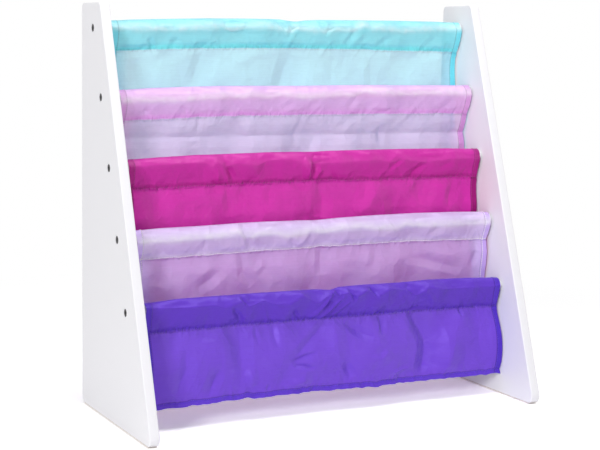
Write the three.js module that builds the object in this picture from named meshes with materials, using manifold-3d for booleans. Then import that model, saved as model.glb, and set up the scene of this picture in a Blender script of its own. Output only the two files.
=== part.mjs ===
// A low bookshelf for children's books: two painted side panels are bolted to five dowels, and
// each dowel carries a band of thin cloth in a sewn sleeve. Each band's foot is sewn to the back
// of the band in front of it, so that the five bands make four pockets for books.
// Millimetres. +X runs along the dowels, +Y to the back and +Z up, and the origin is on the floor
// under the middle of the shelf.

import * as THREE from "three";
import { mergeVertices } from "three/addons/utils/BufferGeometryUtils.js";
import Module from "manifold-3d";

const wasm = await Module();
wasm.setup();

// Overall size
const overallWidth = 641;
const overallHeight = 610;
const panelFootDepth = 298.5;
const rearFootStep = 19.5;
const panelTopDepth = 81;

// Side panels
const panelThickness = 15;
const topCornerRadius = 9;
const rearFootRadius = 14;
const frontFootRadius = 14;
const edgeRounding = 1.5;

// Dowels
const dowelRadius = 8;
const dowelChamfer = 0.6;
const topDowelDrop = 36.5;
const lowestDowelHeight = 174;
const dowelSetback = 43.5;

// Bolts through the panels, with a countersunk head and a hexagon socket
const boltRadius = 3;
const boltHeadRadius = 5.7;
const boltHeadRim = 0.8;
const boltHeadDepth = 3.6;
const boltHeadRecess = 0.4;
const boltLength = 34;
const boltTipChamfer = 0.8;
const socketAcrossFlats = 4;
const socketDepth = 2.2;

// Threaded inserts in the dowels' ends
const insertWall = 1.4;
const insertLength = 18;
const insertInset = 1;
const boreEndRoom = 4;

// Room between pieces that touch each other
const seatGap = 0.3;

// Cloth bands
const clothThickness = 1;
const bandSideGap = 3;
const bandFloorGap = 31;
const sleeveDrop = 34;
const sleeveSeamHeight = 3;
const sleeveFrontReach = 12;
const sleeveBackReach = 9.8;
const seamAllowance = 8;
const seamOffset = 1;
const pocketBelly = 18;
const lowestBandBulge = 9;
const hemKick = 3;

// Folds in the cloth: how far the deepest one stands out, and how far the sleeve's puckers go
const foldDepth = 6;
const sleevePucker = 1.6;

// How far a cutter runs past the surface that it opens
const overrun = 2;

// Sides of the round pieces and steps along the cloth
const dowelSides = 24;
const boltSides = 12;
const cornerSteps = 4;
const roundingSteps = 2;
const sleeveSteps = 12;
const dropSteps = 6;
const acrossSteps = 20;

// How much of a half wave the lowest band's swell runs through before its foot
const freeSwellShare = 0.78;

// How sharply a sleeve narrows from its dowel to its seam; at one it would be half an ellipse
const sleeveNarrowing = 1.4;

// The bands from the top one down. A fold has its place across the band, its depth as a share of
// the deepest fold (to the back is positive), and its width as a share of the band. The bands
// were folded in four for packing, so most folds lie near the quarters. A sleeve's puckers are
// given as waves across the band and their start as a share of a wave.
const bands = [
  {
    name: "aqua",
    colour: "#84dbea",
    foldShares: [
      [0.25, 0.5, 0.05], [0.5, 0.9, 0.06], [0.62, -0.4, 0.05],
      [0.73, 0.5, 0.05], [0.9, -0.3, 0.08],
    ],
    puckerShares: [5.5, 0.1],
  },
  {
    name: "pink",
    colour: "#dcaee4",
    foldShares: [
      [0.12, -0.4, 0.08], [0.25, 0.5, 0.05], [0.5, 0.8, 0.05],
      [0.64, -0.5, 0.06], [0.76, 0.7, 0.05],
    ],
    puckerShares: [6.5, 0.6],
  },
  {
    name: "magenta",
    colour: "#c8289a",
    foldShares: [
      [0.26, 0.9, 0.05], [0.36, -0.5, 0.06], [0.52, 0.9, 0.04],
      [0.74, 0.8, 0.06], [0.92, -0.5, 0.05],
    ],
    puckerShares: [7.5, 0.3],
  },
  {
    name: "lavender",
    colour: "#bfa4e0",
    foldShares: [
      [0.14, -0.4, 0.07], [0.27, 0.5, 0.06], [0.5, 0.7, 0.06],
      [0.66, -0.4, 0.07], [0.79, 0.6, 0.05],
    ],
    puckerShares: [6, 0.8],
  },
  {
    name: "purple",
    colour: "#5f3cc4",
    foldShares: [
      [0.13, -0.5, 0.08], [0.26, 0.7, 0.05], [0.5, 0.8, 0.05],
      [0.63, -0.5, 0.07], [0.75, 1, 0.06],
    ],
    puckerShares: [8, 0.45],
  },
];
const lowestBand = bands.length - 1;

// Places that follow from the sizes. The foot's corners are rounded, so the panel is a little less
// deep than its foot's straight sides would make it, and its middle is found between the rounds.
const innerWidth = overallWidth - 2 * panelThickness;
const rearLean = rearFootStep / overallHeight;
const frontLean = (panelFootDepth - rearFootStep - panelTopDepth) / overallHeight;
const footBack = (panelFootDepth - roundedOff(frontFootRadius, frontLean)
  + roundedOff(rearFootRadius, rearLean)) / 2;
const dowelLength = innerWidth - 2 * seatGap;
const bandWidth = innerWidth - 2 * bandSideGap;
const dowelPitch = (overallHeight - topDowelDrop - lowestDowelHeight) / lowestBand;
const dowelStep = dowelPitch * frontLean;
const pocketSeamDrop = lowestDowelHeight - bandFloorGap - seamAllowance;
const boltBoreRadius = boltRadius + seatGap;
const insertRadius = boltBoreRadius + insertWall;
const dowelBoreRadius = insertRadius + seatGap;
const dowelBoreDepth = boltLength - panelThickness + boreEndRoom;
const clothGap = clothThickness + seatGap;

// How much a foot's rounded corner takes off its reach
function roundedOff(radius, lean) {
  return radius * (lean + Math.hypot(1, lean) - 1);
}

// The places of the front and rear edges at a height
function frontEdge(height) {
  return footBack - panelFootDepth + height * frontLean;
}

function rearEdge(height) {
  return footBack - height * rearLean;
}

// The height and the depth of a dowel's axis, counted from the top one down
function dowelHeight(index) {
  return overallHeight - topDowelDrop - index * dowelPitch;
}

function dowelDepth(index) {
  return frontEdge(dowelHeight(index)) + dowelSetback;
}

// Materials
const paintedBoard = new THREE.MeshStandardMaterial({ color: "#f3f2f5", roughness: 0.45, metalness: 0 });
const paintedDowel = new THREE.MeshStandardMaterial({ color: "#efeef2", roughness: 0.5, metalness: 0 });
const nickelSteel = new THREE.MeshStandardMaterial({ color: "#6d6d72", roughness: 0.35, metalness: 1 });
const insertBrass = new THREE.MeshStandardMaterial({ color: "#b08d4a", roughness: 0.4, metalness: 1 });
const bandCloths = bands.map(
  ({ colour }) => new THREE.MeshStandardMaterial({ color: colour, roughness: 0.55, metalness: 0 }),
);

// A solid that can be cut, from a closed geometry
function solidFrom(geometry) {
  const bare = geometry.clone();
  bare.deleteAttribute("normal");
  bare.deleteAttribute("uv");
  const merged = mergeVertices(bare);
  const corners = merged.index.array;
  const kept = [];
  for (let i = 0; i < corners.length; i += 3) {
    const [a, b, c] = corners.slice(i, i + 3);
    if (a !== b && b !== c && c !== a) {
      kept.push(a, b, c);
    }
  }
  const vertProperties = new Float32Array(merged.attributes.position.array);
  const triVerts = new Uint32Array(kept);
  return new wasm.Manifold(new wasm.Mesh({ numProp: 3, vertProperties, triVerts }));
}

function geometryFrom(solid) {
  const mesh = solid.getMesh();
  const geometry = new THREE.BufferGeometry();
  geometry.setAttribute("position", new THREE.BufferAttribute(mesh.vertProperties, 3));
  geometry.setIndex(new THREE.BufferAttribute(mesh.triVerts, 1));
  return geometry;
}

// A round piece from its half section, given as pairs of radius and place along the axis
function turned(section, sides) {
  const points = section.map(([radius, along]) => new THREE.Vector2(radius, along));
  return new THREE.LatheGeometry(points, sides);
}

function namedMesh(name, geometry, material) {
  const mesh = new THREE.Mesh(geometry, material);
  mesh.name = name;
  return mesh;
}

// An outline with straight sides and a round at each corner
function roundedOutline(corners) {
  const outline = new THREE.Shape();
  corners.forEach(({ at, radius }, i) => {
    const toLast = corners.at(i - 1).at.clone().sub(at).normalize();
    const toNext = corners[(i + 1) % corners.length].at.clone().sub(at).normalize();
    const half = Math.acos(toLast.dot(toNext)) / 2;
    const inward = toLast.clone().add(toNext).normalize();
    const centre = inward.multiplyScalar(radius / Math.sin(half)).add(at);
    const start = toLast.multiplyScalar(radius / Math.tan(half)).add(at).sub(centre).angle();
    const end = toNext.multiplyScalar(radius / Math.tan(half)).add(at).sub(centre).angle();
    outline.absarc(centre.x, centre.y, radius, start, end, false);
  });
  outline.closePath();
  return outline;
}

// The board of a side panel: nearly upright at the back, leaning at the front, with eased edges.
// It spans X from zero to its thickness.
function panelBoard() {
  const outline = roundedOutline([
    { at: new THREE.Vector2(frontEdge(0), 0), radius: frontFootRadius },
    { at: new THREE.Vector2(rearEdge(0), 0), radius: rearFootRadius },
    { at: new THREE.Vector2(rearEdge(overallHeight), overallHeight), radius: topCornerRadius },
    { at: new THREE.Vector2(frontEdge(overallHeight), overallHeight), radius: topCornerRadius },
  ]);
  const board = new THREE.ExtrudeGeometry(outline, {
    depth: panelThickness - 2 * edgeRounding,
    curveSegments: cornerSteps,
    bevelThickness: edgeRounding,
    bevelSize: edgeRounding,
    bevelOffset: -edgeRounding,
    bevelSegments: roundingSteps,
  });
  board.translate(0, 0, edgeRounding);
  return board.rotateX(Math.PI / 2).rotateZ(Math.PI / 2);
}

// The hole for a bolt, countersunk for its head, from the outer face at zero inwards
function boltHoleCutter() {
  const mouth = boltHeadRadius + seatGap;
  const rimEnd = boltHeadRecess + boltHeadRim;
  const coneEnd = boltHeadRecess + boltHeadDepth;
  const section = [
    [0, overrun],
    [mouth, overrun],
    [mouth, -rimEnd],
    [boltBoreRadius, -coneEnd],
    [boltBoreRadius, -panelThickness - overrun],
    [0, -panelThickness - overrun],
  ];
  return turned(section.reverse(), boltSides);
}

// A side panel with its bolt holes; its outer face is at zero and its board goes to minus X
function sidePanel() {
  let board = solidFrom(panelBoard().translate(-panelThickness, 0, 0));
  for (let i = 0; i < bands.length; i += 1) {
    const cutter = boltHoleCutter().rotateZ(-Math.PI / 2);
    cutter.translate(0, dowelDepth(i), dowelHeight(i));
    board = board.subtract(solidFrom(cutter));
  }
  return geometryFrom(board);
}

// The same panel for the other side
function mirrored(geometry) {
  const copy = geometry.clone().scale(-1, 1, 1);
  const corners = copy.index.array;
  for (let i = 0; i < corners.length; i += 3) {
    [corners[i], corners[i + 1]] = [corners[i + 1], corners[i]];
  }
  return copy;
}

// A dowel with a chamfered rim and a bore for the insert at each end
function dowel() {
  const end = dowelLength / 2;
  const rightHalf = [
    [0, end - dowelBoreDepth],
    [dowelBoreRadius, end - dowelBoreDepth],
    [dowelBoreRadius, end],
    [dowelRadius - dowelChamfer, end],
    [dowelRadius, end - dowelChamfer],
  ];
  const leftHalf = rightHalf.map(([radius, along]) => [radius, -along]);
  return turned([...leftHalf, ...rightHalf.reverse()], dowelSides).rotateZ(Math.PI / 2);
}

// A sleeve of metal with an inside thread, drawn plain, from zero to its length
function insert() {
  const section = [
    [boltBoreRadius, 0],
    [insertRadius, 0],
    [insertRadius, insertLength],
    [boltBoreRadius, insertLength],
    [boltBoreRadius, 0],
  ];
  return turned(section, boltSides);
}

// A bolt whose head's face is at zero, with its shank along minus Y
function bolt() {
  const section = [
    [0, -boltLength],
    [boltRadius - boltTipChamfer, -boltLength],
    [boltRadius, -boltLength + boltTipChamfer],
    [boltRadius, -boltHeadDepth],
    [boltHeadRadius, -boltHeadRim],
    [boltHeadRadius, 0],
    [0, 0],
  ];
  const socketRadius = socketAcrossFlats / 2 / Math.cos(Math.PI / 6);
  const socket = new THREE.CylinderGeometry(socketRadius, socketRadius, socketDepth + overrun, 6);
  socket.translate(0, (overrun - socketDepth) / 2, 0);
  return geometryFrom(solidFrom(turned(section, boltSides)).subtract(solidFrom(socket)));
}

// How far a band's folds push its cloth to the back, at a share of the way across
function foldPush(band, across) {
  let push = 0;
  for (const [at, depth, width] of bands[band].foldShares) {
    push += foldDepth * depth * Math.exp(-(((across - at) / width) ** 2));
  }
  return push;
}

// The puckers that the sleeve's seam draws into it
function puckerPush(band, across) {
  const [waves, start] = bands[band].puckerShares;
  return sleevePucker * Math.sin(2 * Math.PI * (waves * across + start));
}

// The depth of a band's middle surface behind its dowel's axis, at a drop below that axis. The
// lowest band hangs free, and each other one ends on the back of the band in front of it.
function bandDepth(band, across, drop) {
  const hang = Math.max(0, drop - sleeveDrop);
  if (band === lowestBand) {
    const share = hang / (pocketSeamDrop - sleeveDrop);
    const kick = hemKick * Math.max(0, drop - pocketSeamDrop) / seamAllowance;
    const swell = Math.sin(Math.PI * Math.min(share, 1) * freeSwellShare);
    return seamOffset - kick + swell * (foldPush(band, across) - lowestBandBulge);
  }
  const share = Math.min(1, hang / (dowelPitch + pocketSeamDrop - sleeveDrop));
  const foot = bandDepth(band + 1, across, Math.max(pocketSeamDrop, drop - dowelPitch));
  const end = foot - dowelStep + clothGap;
  const swell = Math.sin(Math.PI * share);
  return THREE.MathUtils.lerp(seamOffset, end, share) + swell * (pocketBelly + foldPush(band, across));
}

// Drops of a band's rows below its dowel's axis, from the sleeve's seam to the free edge
function bandDrops(band) {
  const seam = pocketSeamDrop + (band === lowestBand ? 0 : dowelPitch);
  const drops = [];
  for (let i = 0; i <= dropSteps; i += 1) {
    drops.push(THREE.MathUtils.lerp(sleeveDrop, seam, i / dropSteps));
  }
  return [...drops, seam + seamAllowance];
}

// The sleeve leans from the dowel's axis to its seam
function sleeveLean(height) {
  return seamOffset * Math.max(0, -height / sleeveDrop);
}

// A point of a ring round the dowel. The angle is zero at the back and a right angle at the top,
// and below the axis the ring narrows to the seam.
function sleevePoint(angle, { back, front, top, foot }) {
  const side = Math.cos(angle);
  const rise = Math.sin(angle);
  const reach = side > 0 ? back : front;
  const narrowing = rise < 0 ? sleeveNarrowing : 1;
  const height = rise * (rise < 0 ? foot : top);
  return [Math.sign(side) * reach * Math.abs(side) ** narrowing + sleeveLean(height), height];
}

// The outer and inner rings of a band at a share of the way across, as pairs of depth behind
// the dowel's axis and height above it. The outer ring goes up the back and down the front.
function bandRings(band, across) {
  const half = clothThickness / 2;
  const pucker = puckerPush(band, across);
  const inside = {
    back: sleeveBackReach - half,
    front: sleeveFrontReach + pucker - half,
    top: (dowelRadius + seatGap) / Math.cos(Math.PI / sleeveSteps),
    foot: sleeveDrop - sleeveSeamHeight,
  };
  const outside = {
    back: inside.back + clothThickness,
    front: inside.front + clothThickness,
    top: inside.top + clothThickness,
    foot: sleeveDrop,
  };
  const angles = Array.from({ length: sleeveSteps }, (_, i) => 2 * Math.PI * (i / sleeveSteps - 1 / 4));
  const inner = angles.map((angle) => sleevePoint(angle, inside));
  const sleeve = angles.slice(1).map((angle) => sleevePoint(angle, outside));
  const rows = bandDrops(band).map((drop) => [bandDepth(band, across, drop), -drop]);
  const backFace = rows.map(([depth, height]) => [depth + half, height]).reverse();
  const frontFace = rows.map(([depth, height]) => [depth - half, height]);
  return { outer: [...backFace, ...sleeve, ...frontFace], inner };
}

// Both triangles between two rows of points, facing along the rows' turn
function addQuad(triangles, a, b, c, d) {
  triangles.push(a, b, c, a, c, d);
}

// A band as one closed skin: its outer and inner walls along X and a flat cap at each end
function clothBand(band) {
  const positions = [];
  const triangles = [];
  const sections = [];
  for (let i = 0; i <= acrossSteps; i += 1) {
    const rings = bandRings(band, i / acrossSteps);
    const x = bandWidth * (i / acrossSteps - 1 / 2);
    for (const [depth, height] of [...rings.outer, ...rings.inner]) {
      positions.push(x, depth, height);
    }
    sections.push(rings);
  }
  const outerCount = sections[0].outer.length;
  const innerCount = sections[0].inner.length;
  const ringCount = outerCount + innerCount;
  for (let i = 0; i < acrossSteps; i += 1) {
    const here = i * ringCount;
    const there = here + ringCount;
    for (let j = 0; j < outerCount; j += 1) {
      const next = (j + 1) % outerCount;
      addQuad(triangles, here + j, here + next, there + next, there + j);
    }
    for (let j = 0; j < innerCount; j += 1) {
      const from = outerCount + j;
      const to = outerCount + (j + 1) % innerCount;
      addQuad(triangles, here + to, here + from, there + from, there + to);
    }
  }
  const toVector = ([depth, height]) => new THREE.Vector2(depth, height);
  for (const i of [0, acrossSteps]) {
    const outer = sections[i].outer.map(toVector);
    const inner = sections[i].inner.map(toVector);
    const points = [...outer, ...inner];
    for (const face of THREE.ShapeUtils.triangulateShape(outer, [inner])) {
      const [a, b, c] = face;
      const turnsLeft = THREE.ShapeUtils.area([points[a], points[b], points[c]]) > 0;
      const ordered = turnsLeft === (i > 0) ? [a, b, c] : [a, c, b];
      triangles.push(...ordered.map((corner) => i * ringCount + corner));
    }
  }
  const geometry = new THREE.BufferGeometry();
  geometry.setAttribute("position", new THREE.Float32BufferAttribute(positions, 3));
  geometry.setIndex(triangles);
  geometry.computeVertexNormals();
  return geometry;
}

// The shelf, from the panels inwards
const shelf = new THREE.Group();
const outerFace = overallWidth / 2;

const rightPanel = sidePanel();
const rightPanelMesh = namedMesh("side_panel_right", rightPanel, paintedBoard);
rightPanelMesh.position.x = outerFace;
const leftPanelMesh = namedMesh("side_panel_left", mirrored(rightPanel), paintedBoard);
leftPanelMesh.position.x = -outerFace;
shelf.add(leftPanelMesh, rightPanelMesh);

bands.forEach(({ name }, i) => {
  const row = new THREE.Group();
  row.position.set(0, dowelDepth(i), dowelHeight(i));
  shelf.add(row);

  row.add(namedMesh(`dowel_${i + 1}`, dowel(), paintedDowel));
  row.add(namedMesh(`sling_${name}`, clothBand(i), bandCloths[i]));

  for (const [side, turn] of [["left", 1], ["right", -1]]) {
    const boltMesh = namedMesh(`bolt_${side}_${i + 1}`, bolt(), nickelSteel);
    boltMesh.rotation.z = turn * Math.PI / 2;
    boltMesh.position.x = -turn * (outerFace - boltHeadRecess);
    const insertMesh = namedMesh(`insert_${side}_${i + 1}`, insert(), insertBrass);
    insertMesh.rotation.z = -turn * Math.PI / 2;
    insertMesh.position.x = -turn * (dowelLength / 2 - insertInset);
    row.add(boltMesh, insertMesh);
  }
});

export default shelf;
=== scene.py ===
import math

import bmesh
import bpy
import numpy as np
from mathutils import Matrix, Vector


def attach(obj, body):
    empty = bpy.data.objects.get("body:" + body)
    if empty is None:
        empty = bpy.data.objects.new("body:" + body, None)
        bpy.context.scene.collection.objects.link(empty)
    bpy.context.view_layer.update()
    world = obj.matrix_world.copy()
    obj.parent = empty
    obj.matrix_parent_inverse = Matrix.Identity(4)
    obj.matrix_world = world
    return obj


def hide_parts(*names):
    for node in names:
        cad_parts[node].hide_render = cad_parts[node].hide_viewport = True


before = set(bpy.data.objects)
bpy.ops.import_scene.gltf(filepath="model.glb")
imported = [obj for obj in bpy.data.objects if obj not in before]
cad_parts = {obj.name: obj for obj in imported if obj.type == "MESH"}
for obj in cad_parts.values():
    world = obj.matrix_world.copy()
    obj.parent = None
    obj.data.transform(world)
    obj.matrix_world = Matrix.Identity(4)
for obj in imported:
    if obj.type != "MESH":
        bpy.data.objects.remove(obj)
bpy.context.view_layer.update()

# Side panels
# Two boards of 15 mm fibreboard, cut nearly upright at the back and leaning at the front, with
# every corner rounded and every edge eased. They are sprayed with white satin paint, and each has
# five countersunk holes for the bolts that hold the dowels.
mm = 0.001
overall_width = 641 * mm
overall_height = 610 * mm
foot_depth = 298.5 * mm
rear_foot_step = 19.5 * mm
top_depth = 81 * mm
panel_thickness = 15 * mm
front_foot_radius = 14 * mm
rear_foot_radius = 14 * mm
top_corner_radius = 9 * mm
edge_rounding = 1.5 * mm
rear_lean = rear_foot_step / overall_height
front_lean = (foot_depth - rear_foot_step - top_depth) / overall_height

bands = ["aqua", "pink", "magenta", "lavender", "purple"]
lowest_dowel_height = 174 * mm
top_dowel_height = overall_height - 36.5 * mm
dowel_pitch = (top_dowel_height - lowest_dowel_height) / 4
dowel_step = dowel_pitch * front_lean
dowel_setback = 43.5 * mm

head_radius = 5.7 * mm
head_recess = 0.4 * mm
head_rim = 0.8 * mm
head_depth = 3.6 * mm
bolt_radius = 3 * mm
seat_gap = 0.3 * mm


def rounded_off(radius, lean):
    """How much a foot's rounded corner takes off its reach."""
    return radius * (lean + math.hypot(1, lean) - 1)


# The panel's middle lies at zero depth, with its foot's corners rounded
front_loss = rounded_off(front_foot_radius, front_lean)
rear_loss = rounded_off(rear_foot_radius, rear_lean)
foot_back = (foot_depth - front_loss + rear_loss) / 2


def front_edge(height):
    """Place of the panels' front edge at a height."""
    return foot_back - foot_depth + height * front_lean


def rear_edge(height):
    """Place of the panels' rear edge at a height."""
    return foot_back - height * rear_lean


def dowel_axis(index):
    """Depth and height of a dowel's axis, counted from the top one down."""
    height = top_dowel_height - index * dowel_pitch
    return front_edge(height) + dowel_setback, height


def linear(colour):
    """Linear red, green, blue and alpha of an sRGB hex colour."""
    parts = [int(colour[i : i + 2], 16) / 255 for i in (1, 3, 5)]
    return (*(p / 12.92 if p <= 0.04045 else ((p + 0.055) / 1.055) ** 2.4 for p in parts), 1)


def node_adder(tree):
    """The function that adds a node to the emptied tree. A socket gets a value or another node's
    output. It gives the new node's output: the one named, or the first one in use."""
    tree.nodes.clear()

    def add(kind, settings=None, output=None, **sockets):
        node = tree.nodes.new("ShaderNode" + kind)
        for name, value in (settings or {}).items():
            setattr(node, name, value)
        for name, value in sockets.items():
            key = int(name[1:]) if name[0] == "_" else name.replace("_", " ")
            if isinstance(value, bpy.types.NodeSocket):
                tree.links.new(value, node.inputs[key])
            else:
                node.inputs[key].default_value = value
        if output:
            return node.outputs[output]
        return next((socket for socket in node.outputs if socket.enabled), None)

    return add


def new_material(name):
    """An empty node material and the function that adds its nodes."""
    material = bpy.data.materials.new(name)
    material.use_nodes = True
    return material, node_adder(material.node_tree)


def placed(name, mesh, material):
    """The object of a mesh whose place is already in its vertices, with its material."""
    piece = bpy.data.objects.new(name, mesh)
    bpy.context.collection.objects.link(piece)
    mesh.materials.append(material)
    return piece


def as_mesh(bm, name):
    """The mesh of a bmesh, which is freed."""
    mesh = bpy.data.meshes.new(name)
    bm.to_mesh(mesh)
    bm.free()
    return mesh


def finished(bm, name, material, smooth_angle=None):
    """The object of a bmesh, shaded smooth up to an angle in degrees if one is given."""
    piece = placed(name, as_mesh(bm, name), material)
    if smooth_angle is not None:
        piece.data.shade_smooth()
        piece.data.set_sharp_from_angle(angle=math.radians(smooth_angle))
    return piece


def spun(bm, section, steps):
    """A round shell about the X axis from pairs of radius and place along it."""
    points = [bm.verts.new((along, 0, radius)) for radius, along in section]
    edges = [bm.edges.new(pair) for pair in zip(points, points[1:])]
    bmesh.ops.spin(
        bm, geom=points + edges, cent=(0, 0, 0), axis=(1, 0, 0), angle=math.tau, steps=steps,
        use_merge=True,
    )
    bmesh.ops.remove_doubles(bm, verts=bm.verts, dist=0.01 * mm)
    bmesh.ops.recalc_face_normals(bm, faces=bm.faces)


# Sprayed white satin paint: even and soft, with a faint orange peel and slow changes of its shine
board_paint, add = new_material("satin paint on fibreboard")
place = add("TexCoord", output="Object")
peel = add("TexNoise", Vector=place, Scale=1 / (2.2 * mm), Detail=2.0)
blotch = add("TexNoise", Vector=place, Scale=1 / (60 * mm), Detail=3.0)
bump = add("Bump", Strength=0.25, Distance=0.06 * mm, Height=peel)
sheen = add("MapRange", Value=blotch, To_Min=0.36, To_Max=0.48)
# Board shows through as tan where the paint thins out at the very foot of the board
height = add("SeparateXYZ", output="Z", Vector=place)
foot = add(
    "MapRange", Value=height, From_Min=0.6 * mm, From_Max=3.2 * mm, To_Min=1.0, To_Max=0.0
)
patchy = add("TexNoise", Vector=place, Scale=1 / (9 * mm), Detail=3.0)
worn = add("Math", {"operation": "MULTIPLY"}, _0=foot, _1=patchy)
tone = add("Mix", {"data_type": "RGBA"}, _0=worn, _6=linear("#f0eff3"), _7=linear("#c3a682"))
paint = add("BsdfPrincipled", Base_Color=tone, Roughness=sheen, IOR=1.48, Normal=bump)
add("OutputMaterial", Surface=paint)


def bolt_holes(outer, side):
    """All five holes of a panel with this outer face, each with its seat for the head."""
    mouth = head_radius + seat_gap
    bore = bolt_radius + seat_gap
    past = 2 * mm
    section = [
        (0, past), (mouth, past), (mouth, -head_recess - head_rim),
        (bore, -head_recess - head_depth), (bore, -panel_thickness - past),
        (0, -panel_thickness - past),
    ]
    holes = bmesh.new()
    for index in range(len(bands)):
        hole = bmesh.new()
        spun(hole, section, 48)
        centre = Matrix.Translation((outer, *dowel_axis(index)))
        bmesh.ops.transform(
            hole, matrix=centre @ Matrix.Scale(side, 4, (1, 0, 0)), verts=hole.verts
        )
        bmesh.ops.recalc_face_normals(hole, faces=hole.faces)
        tool = as_mesh(hole, "hole")
        holes.from_mesh(tool)
        bpy.data.meshes.remove(tool)
    return holes


def side_panel(name, side):
    """A panel on the left, where side is -1, or on the right, where it is 1."""
    outer = side * overall_width / 2
    bm = bmesh.new()
    corners = [
        (front_edge(0), 0, front_foot_radius),
        (rear_edge(0), 0, rear_foot_radius),
        (rear_edge(overall_height), overall_height, top_corner_radius),
        (front_edge(overall_height), overall_height, top_corner_radius),
    ]
    places = [Vector((outer, depth, height)) for depth, height, _ in corners]
    points = [bm.verts.new(at) for at in places]
    bm.faces.new(points)
    for i, point in enumerate(points):
        back, on = places[i - 1] - places[i], places[(i + 1) % 4] - places[i]
        reach = corners[i][2] / math.tan(back.angle(on) / 2)
        bmesh.ops.bevel(
            bm, geom=[point], offset=reach, segments=8, profile=0.5, affect="VERTICES",
            material=-1,
        )
    face = bmesh.ops.extrude_face_region(bm, geom=bm.faces[:])
    moved = [v for v in face["geom"] if isinstance(v, bmesh.types.BMVert)]
    bmesh.ops.translate(bm, verts=moved, vec=(-side * panel_thickness, 0, 0))
    bmesh.ops.recalc_face_normals(bm, faces=bm.faces)
    rims = [e for e in bm.edges if abs(e.verts[0].co.x - e.verts[1].co.x) < 0.1 * mm]
    bmesh.ops.bevel(
        bm, geom=rims, offset=edge_rounding, segments=4, profile=0.5, affect="EDGES",
        material=-1, clamp_overlap=True,
    )
    board = finished(bm, name, board_paint)

    # One cutter opens all the holes, and is then thrown away
    cutter = finished(bolt_holes(outer, side), f"{name}_cutter", board_paint)
    cut = board.modifiers.new("holes", "BOOLEAN")
    cut.operation, cut.solver, cut.object = "DIFFERENCE", "EXACT", cutter
    bpy.context.view_layer.update()
    graph = bpy.context.evaluated_depsgraph_get()
    drilled = bpy.data.meshes.new_from_object(board.evaluated_get(graph))
    board.modifiers.clear()
    board.data = drilled
    bpy.data.objects.remove(cutter)
    drilled.shade_smooth()
    drilled.set_sharp_from_angle(angle=math.radians(35))
    for face in drilled.polygons:
        if abs(face.normal.x) > 0.999:
            face.use_smooth = False
    return board


for name, side in (("left", -1), ("right", 1)):
    board = side_panel(f"board_{name}", side)
    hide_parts(f"side_panel_{name}")
    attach(board, "root")

# Dowels
# Five rods of 16 mm softwood, chamfered at their ends and painted white like the panels. Each
# end is bored for a threaded insert, and the bolts pull the panels tight against them.
dowel_radius = 8 * mm
dowel_chamfer = 0.6 * mm
dowel_length = overall_width - 2 * panel_thickness - 2 * seat_gap
bolt_length = 34 * mm
insert_wall = 1.4 * mm
dowel_bore = bolt_radius + seat_gap + insert_wall + seat_gap
bore_depth = bolt_length - panel_thickness + 4 * mm

# Paint on turned softwood: white, a little duller than the boards, with the grain's fine ridges
# 1 mm apart still to be felt along the rod
rod_paint, add = new_material("satin paint on softwood")
place = add("TexCoord", output="Object")
stretch = add("Mapping", Vector=place, Scale=(1 / (25 * mm), 0.9 / mm, 0.9 / mm))
grain = add("TexNoise", Vector=stretch, Scale=1.0, Detail=4.0)
ridges = add("Bump", Strength=0.4, Distance=0.08 * mm, Height=grain)
tone = add("Mix", {"data_type": "RGBA"}, _0=grain, _6=linear("#e9e7ec"), _7=linear("#f1f0f3"))
paint = add("BsdfPrincipled", Base_Color=tone, Roughness=0.5, Normal=ridges)
add("OutputMaterial", Surface=paint)

for index in range(len(bands)):
    end = dowel_length / 2
    half_section = [
        (0, end - bore_depth), (dowel_bore, end - bore_depth), (dowel_bore, end),
        (dowel_radius - dowel_chamfer, end), (dowel_radius, end - dowel_chamfer),
    ]
    bm = bmesh.new()
    spun(bm, half_section + [(radius, -along) for radius, along in reversed(half_section)], 56)
    bmesh.ops.translate(bm, verts=bm.verts, vec=(0, *dowel_axis(index)))
    rod = finished(bm, f"rod_{index + 1}", rod_paint, 40)
    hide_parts(f"dowel_{index + 1}")
    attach(rod, "root")

# Threaded inserts
# A short brass sleeve is screwed into each end of each dowel to take the bolt. It can't be seen
# once the shelf stands.
# Turned brass: yellow and bright, with fine rings left by the cutting tool
brass, add = new_material("turned brass")
place = add("TexCoord", output="Object")
rings = add(
    "TexWave", {"bands_direction": "X"}, "Fac", Vector=place, Scale=0.3 / mm, Distortion=0.4
)
lines = add("Bump", Strength=0.3, Distance=0.05 * mm, Height=rings)
metal = add(
    "BsdfPrincipled", Base_Color=linear("#c9a55c"), Metallic=1.0, Roughness=0.3, Normal=lines
)
add("OutputMaterial", Surface=metal)
for side in ("left", "right"):
    for index in range(len(bands)):
        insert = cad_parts[f"insert_{side}_{index + 1}"]
        if not insert.material_slots:
            insert.data.materials.append(brass)
        for held in insert.material_slots:
            held.link = "OBJECT"
            held.material = brass

# Purple band
# The lowest of five bands of dyed nylon taffeta, and the only one whose foot hangs free. Each
# band is folded over its dowel and stitched to itself 34 mm below, and its sides are hemmed.
# The bands had been folded in four for packing, so most creases lie near their quarters.
left_end, right_end = -293.5 * mm, 302.5 * mm
band_width = right_end - left_end
side_hem = 9.5 * mm
sleeve_drop = 34 * mm
seam_allowance = 8 * mm
sleeve_tuck = 9 * mm
seam_offset = 1 * mm
pocket_seam_drop = lowest_dowel_height - 31 * mm - seam_allowance
cloth_gap = 1.3 * mm
sleeve_back = 9.8 * mm
rod_clearance = 8.4 * mm

# How far a band bulges under its sleeve, how far a fold from packing draws it in, and the width
# that the folds' places and widths are shares of
pocket_belly = 18 * mm
free_belly = 9 * mm
fold_depth = 6 * mm
folded_width = 605 * mm

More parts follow.
